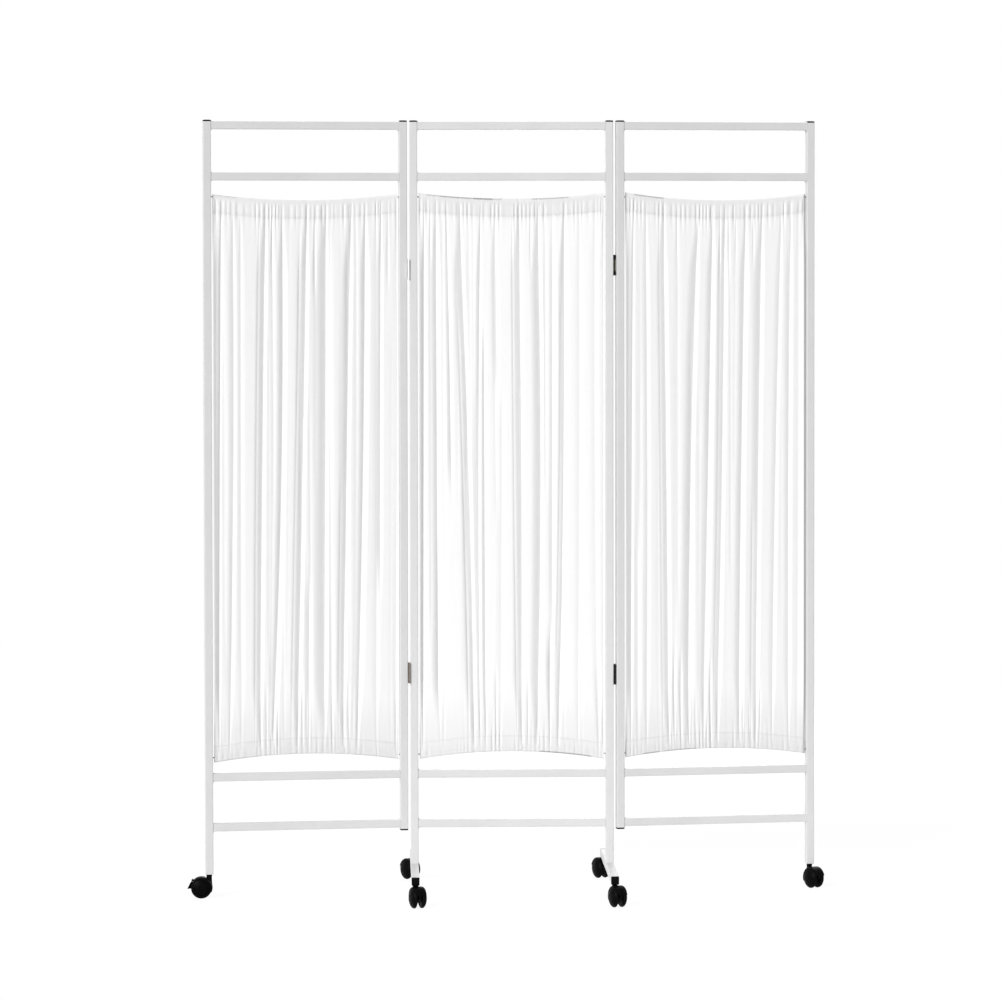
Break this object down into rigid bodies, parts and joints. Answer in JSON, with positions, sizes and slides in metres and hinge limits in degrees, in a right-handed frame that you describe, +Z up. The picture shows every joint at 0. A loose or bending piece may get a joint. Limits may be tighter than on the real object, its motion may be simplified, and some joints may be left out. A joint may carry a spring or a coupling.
{
  "type": "ward privacy screen",
  "caption": "Folding ward privacy screen: hinged square-tube frames with gathered white curtains on wires, standing on foot bars and black twin-wheel casters.",
  "frame": {"origin": "middle of the whole screen's bounding box, on the floor", "axes": "+X along the middle panel towards the right-hand panel, -Y towards the viewer, +Z up"},
  "size_m": [1.5698, 0.565, 1.89],
  "materials": {
    "frame_white": "white powder coat, semi-gloss",
    "cap_black": "moulded black plastic",
    "caster_plastic": "black nylon, fine texture",
    "wheel_black": "black nylon, lightly scuffed tread",
    "hinge_steel": "dull plated steel",
    "wire_coat": "coated spring wire",
    "curtain_cloth": "white woven cotton blend"
  },
  "bodies": {
    "middle_panel": {"middle_left_upright_and_foot": "frame_white", "middle_left_top_cap": "cap_black", "left_foot_front_cap": "cap_black", "left_foot_rear_cap": "cap_black", "middle_right_upright_and_foot": "frame_white", "middle_right_top_cap": "cap_black", "right_foot_front_cap": "cap_black", "right_foot_rear_cap": "cap_black", "middle_top_rail": "frame_white", "middle_upper_rail": "frame_white", "middle_lower_rail": "frame_white", "middle_bottom_rail": "frame_white", "middle_curtain": "curtain_cloth", "middle_top_wire": "wire_coat", "middle_bottom_wire": "wire_coat", "left_lower_hinge_fixed_leaf": "hinge_steel", "left_upper_hinge_fixed_leaf": "hinge_steel", "right_lower_hinge_fixed_leaf": "hinge_steel", "right_upper_hinge_fixed_leaf": "hinge_steel"},
    "left_panel": {"left_top_rail": "frame_white", "left_upper_rail": "frame_white", "left_lower_rail": "frame_white", "left_bottom_rail": "frame_white", "left_curtain": "curtain_cloth", "left_top_wire": "wire_coat", "left_bottom_wire": "wire_coat", "left_outer_upright": "frame_white", "left_inner_upright": "frame_white", "left_outer_top_cap": "cap_black", "left_inner_top_cap": "cap_black", "left_inner_bottom_cap": "cap_black", "left_lower_hinge_moving_leaf": "hinge_steel", "left_upper_hinge_moving_leaf": "hinge_steel"},
    "right_panel": {"right_top_rail": "frame_white", "right_upper_rail": "frame_white", "right_lower_rail": "frame_white", "right_bottom_rail": "frame_white", "right_curtain": "curtain_cloth", "right_top_wire": "wire_coat", "right_bottom_wire": "wire_coat", "right_outer_upright": "frame_white", "right_inner_upright": "frame_white", "right_outer_top_cap": "cap_black", "right_inner_top_cap": "cap_black", "right_inner_bottom_cap": "cap_black", "right_lower_hinge_moving_leaf": "hinge_steel", "right_upper_hinge_moving_leaf": "hinge_steel"},
    "left_foot_front_swivel": {"left_foot_front_caster_body": "caster_plastic"},
    "left_foot_front_rolling": {"left_foot_front_caster_wheels": "wheel_black"},
    "left_foot_rear_swivel": {"left_foot_rear_caster_body": "caster_plastic"},
    "left_foot_rear_rolling": {"left_foot_rear_caster_wheels": "wheel_black"},
    "right_foot_front_swivel": {"right_foot_front_caster_body": "caster_plastic"},
    "right_foot_front_rolling": {"right_foot_front_caster_wheels": "wheel_black"},
    "right_foot_rear_swivel": {"right_foot_rear_caster_body": "caster_plastic"},
    "right_foot_rear_rolling": {"right_foot_rear_caster_wheels": "wheel_black"},
    "left_outer_swivel": {"left_outer_caster_body": "caster_plastic"},
    "left_outer_rolling": {"left_outer_caster_wheels": "wheel_black"},
    "right_outer_swivel": {"right_outer_caster_body": "caster_plastic"},
    "right_outer_rolling": {"right_outer_caster_wheels": "wheel_black"},
    "left_outer_brake": {"left_outer_caster_brake_pedal": "caster_plastic"}
  },
  "joints": [
    {"name": "left_panel_fold", "type": "hinge", "parent": "middle_panel", "child": "left_panel", "pos_m": [-0.24193, -0.01323, 0.9], "axis": [0, 0, 1], "range_deg": [-10, 136]},
    {"name": "right_panel_fold", "type": "hinge", "parent": "middle_panel", "child": "right_panel", "pos_m": [0.25927, 0.01297, 0.9], "axis": [0, 0, 1], "range_deg": [-10, 136]},
    {"name": "left_foot_front_swivel_turn", "type": "hinge", "parent": "middle_panel", "child": "left_foot_front_swivel", "pos_m": [-0.22983, -0.23263, 0.05], "axis": [0, 0, 1], "continuous": true},
    {"name": "left_foot_front_wheel_spin", "type": "hinge", "parent": "left_foot_front_swivel", "child": "left_foot_front_rolling", "pos_m": [-0.22491, -0.25099, 0.025], "axis": [-0.9659, -0.2588, 0], "continuous": true},
    {"name": "left_foot_rear_swivel_turn", "type": "hinge", "parent": "middle_panel", "child": "left_foot_rear_swivel", "pos_m": [-0.22983, 0.23237, 0.05], "axis": [0, 0, 1], "continuous": true},
    {"name": "left_foot_rear_wheel_spin", "type": "hinge", "parent": "left_foot_rear_swivel", "child": "left_foot_rear_rolling", "pos_m": [-0.23933, 0.24882, 0.025], "axis": [0.866, 0.5, 0], "continuous": true},
    {"name": "right_foot_front_swivel_turn", "type": "hinge", "parent": "middle_panel", "child": "right_foot_front_swivel", "pos_m": [0.24717, -0.23263, 0.05], "axis": [0, 0, 1], "continuous": true},
    {"name": "right_foot_front_wheel_spin", "type": "hinge", "parent": "right_foot_front_swivel", "child": "right_foot_front_rolling", "pos_m": [0.25304, -0.2507, 0.025], "axis": [-0.9511, -0.309, 0], "continuous": true},
    {"name": "right_foot_rear_swivel_turn", "type": "hinge", "parent": "middle_panel", "child": "right_foot_rear_swivel", "pos_m": [0.24717, 0.23237, 0.05], "axis": [0, 0, 1], "continuous": true},
    {"name": "right_foot_rear_wheel_spin", "type": "hinge", "parent": "right_foot_rear_swivel", "child": "right_foot_rear_rolling", "pos_m": [0.23975, 0.24986, 0.025], "axis": [0.9205, 0.3907, 0], "continuous": true},
    {"name": "left_outer_swivel_turn", "type": "hinge", "parent": "left_panel", "child": "left_outer_swivel", "pos_m": [-0.72881, -0.06154, 0.05], "axis": [0, 0, 1], "continuous": true},
    {"name": "left_outer_wheel_spin", "type": "hinge", "parent": "left_outer_swivel", "child": "left_outer_rolling", "pos_m": [-0.74782, -0.06154, 0.025], "axis": [0, 1, 0], "continuous": true},
    {"name": "right_outer_swivel_turn", "type": "hinge", "parent": "right_panel", "child": "right_outer_swivel", "pos_m": [0.74483, 0.07315, 0.05], "axis": [0, 0, 1], "continuous": true},
    {"name": "right_outer_wheel_spin", "type": "hinge", "parent": "right_outer_swivel", "child": "right_outer_rolling", "pos_m": [0.75404, 0.05653, 0.025], "axis": [-0.8746, -0.4848, 0], "continuous": true},
    {"name": "left_outer_brake_press", "type": "hinge", "parent": "left_outer_swivel", "child": "left_outer_brake", "pos_m": [-0.76925, -0.06154, 0.04363], "axis": [0, -1, 0], "range_deg": [0, 9]}
  ]
}
